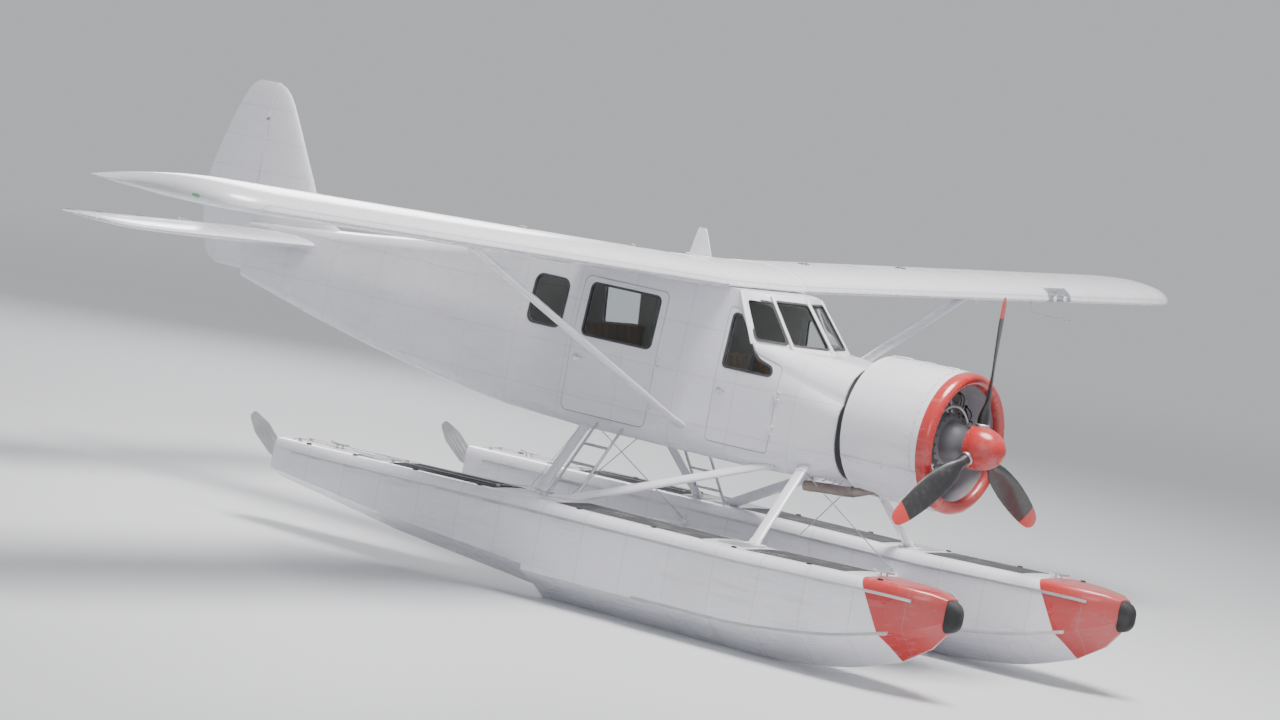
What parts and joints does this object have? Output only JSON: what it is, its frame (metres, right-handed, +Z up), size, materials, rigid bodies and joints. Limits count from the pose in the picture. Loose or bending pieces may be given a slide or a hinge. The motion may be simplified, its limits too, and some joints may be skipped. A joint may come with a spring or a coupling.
{
  "type": "single-engine high-wing bush plane on twin floats",
  "caption": "High-wing bush plane with a radial engine and struts, standing on two stepped floats; doors, flaps, tail surfaces and propeller move.",
  "frame": {"origin": "on the ground under the float keels, in the middle of the plane's length and span", "axes": "+Z up, nose towards -Y, the plane's own left side towards +X, span along X"},
  "size_m": [14.6222, 9.98, 3.85],
  "materials": {
    "white_paint": "gloss",
    "red_paint": "gloss",
    "bare_aluminium": "satin",
    "engine_metal": "satin",
    "black_paint": "satin",
    "cabin_grey": "matte",
    "rubber": "matte",
    "clear_glass": "gloss",
    "seat_fabric": "matte"
  },
  "bodies": {
    "airframe": {"cabin_shell": "white_paint", "tail_cone": "white_paint", "wing_centre": "white_paint", "stabilizer": "white_paint", "fin": "white_paint", "engine_cowl": "white_paint", "front_spreader_bar": "white_paint", "rear_spreader_bar": "white_paint", "wing_left": "white_paint", "wing_right": "white_paint", "float_left": "white_paint", "float_right": "white_paint", "lift_strut_left": "white_paint", "lift_strut_right": "white_paint", "front_float_strut_left": "white_paint", "front_float_strut_right": "white_paint", "rear_float_strut_left": "white_paint", "rear_float_strut_right": "white_paint", "diagonal_float_strut_left": "white_paint", "diagonal_float_strut_right": "white_paint", "firewall": "bare_aluminium", "front_seat_frame_left": "bare_aluminium", "front_seat_frame_right": "bare_aluminium", "rear_bench_frame": "bare_aluminium", "ladder_left": "bare_aluminium", "ladder_right": "bare_aluminium", "engine": "engine_metal", "instrument_panel": "black_paint", "cabin_floor": "cabin_grey", "rear_bulkhead": "cabin_grey", "bow_bumper_left": "rubber", "bow_bumper_right": "rubber", "rear_glass_left": "clear_glass", "rear_glass_right": "clear_glass", "windshield_left": "clear_glass", "windshield_right": "clear_glass", "quarter_glass_left": "clear_glass", "quarter_glass_right": "clear_glass", "front_seat_cushion_left": "seat_fabric", "front_seat_cushion_right": "seat_fabric", "rear_bench_cushion": "seat_fabric"},
    "propeller": {"propeller": "black_paint", "spinner": "red_paint"},
    "elevator": {"elevator": "white_paint"},
    "rudder": {"rudder": "white_paint"},
    "front_door_left": {"front_door_left": "white_paint", "front_door_glass_left": "clear_glass"},
    "cabin_door_left": {"cabin_door_left": "white_paint", "cabin_door_glass_left": "clear_glass"},
    "flap_left": {"flap_left": "white_paint"},
    "aileron_left": {"aileron_left": "white_paint"},
    "water_rudder_left": {"water_rudder_left": "bare_aluminium"},
    "front_door_right": {"front_door_right": "white_paint", "front_door_glass_right": "clear_glass"},
    "cabin_door_right": {"cabin_door_right": "white_paint", "cabin_door_glass_right": "clear_glass"},
    "flap_right": {"flap_right": "white_paint"},
    "aileron_right": {"aileron_right": "white_paint"},
    "water_rudder_right": {"water_rudder_right": "bare_aluminium"}
  },
  "joints": [
    {"name": "propeller_spin", "type": "hinge", "parent": "airframe", "child": "propeller", "pos_m": [0, -4, 1.98], "axis": [0, -1, 0], "continuous": true},
    {"name": "front_door_left_swing", "type": "hinge", "parent": "airframe", "child": "front_door_left", "pos_m": [0.624, -2.293, 1.93], "axis": [0, 0, -1], "range_deg": [0, 80]},
    {"name": "cabin_door_left_swing", "type": "hinge", "parent": "airframe", "child": "cabin_door_left", "pos_m": [0.644, -0.993, 1.94], "axis": [0, 0, -1], "range_deg": [0, 85]},
    {"name": "flap_left_hinge", "type": "hinge", "parent": "airframe", "child": "flap_left", "pos_m": [2.29782, -0.4552, 3.02271], "axis": [-0.9994, 0, -0.0349], "range_deg": [0, 50]},
    {"name": "aileron_left_hinge", "type": "hinge", "parent": "airframe", "child": "aileron_left", "pos_m": [5.39593, -0.4552, 3.13089], "axis": [-0.9994, 0, -0.0349], "range_deg": [-20, 20]},
    {"name": "water_rudder_left_steer", "type": "hinge", "parent": "airframe", "child": "water_rudder_left", "pos_m": [1.4, 2.345, 0.65], "axis": [0, 0, 1], "range_deg": [-30, 30]},
    {"name": "front_door_right_swing", "type": "hinge", "parent": "airframe", "child": "front_door_right", "pos_m": [-0.624, -2.293, 1.93], "axis": [0, 0, 1], "range_deg": [0, 80]},
    {"name": "cabin_door_right_swing", "type": "hinge", "parent": "airframe", "child": "cabin_door_right", "pos_m": [-0.644, -0.993, 1.94], "axis": [0, 0, 1], "range_deg": [0, 85]},
    {"name": "flap_right_hinge", "type": "hinge", "parent": "airframe", "child": "flap_right", "pos_m": [-2.29782, -0.4552, 3.02271], "axis": [-0.9994, 0, 0.0349], "range_deg": [0, 50]},
    {"name": "aileron_right_hinge", "type": "hinge", "parent": "airframe", "child": "aileron_right", "pos_m": [-5.39593, -0.4552, 3.13089], "axis": [-0.9994, 0, 0.0349], "range_deg": [-20, 20]},
    {"name": "water_rudder_right_steer", "type": "hinge", "parent": "airframe", "child": "water_rudder_right", "pos_m": [-1.4, 2.345, 0.65], "axis": [0, 0, 1], "range_deg": [-30, 30]},
    {"name": "elevator_hinge", "type": "hinge", "parent": "airframe", "child": "elevator", "pos_m": [0, 4.08, 2.43], "axis": [1, 0, 0], "range_deg": [-20, 25]},
    {"name": "rudder_hinge", "type": "hinge", "parent": "airframe", "child": "rudder", "pos_m": [0, 4.33, 3], "axis": [0, 0, 1], "range_deg": [-25, 25]}
  ],
  "couplings": [
    {"joint": "flap_right_hinge", "follows": "flap_left_hinge", "ratio": 1},
    {"joint": "aileron_right_hinge", "follows": "aileron_left_hinge", "ratio": -1},
    {"joint": "water_rudder_right_steer", "follows": "water_rudder_left_steer", "ratio": 1}
  ]
}
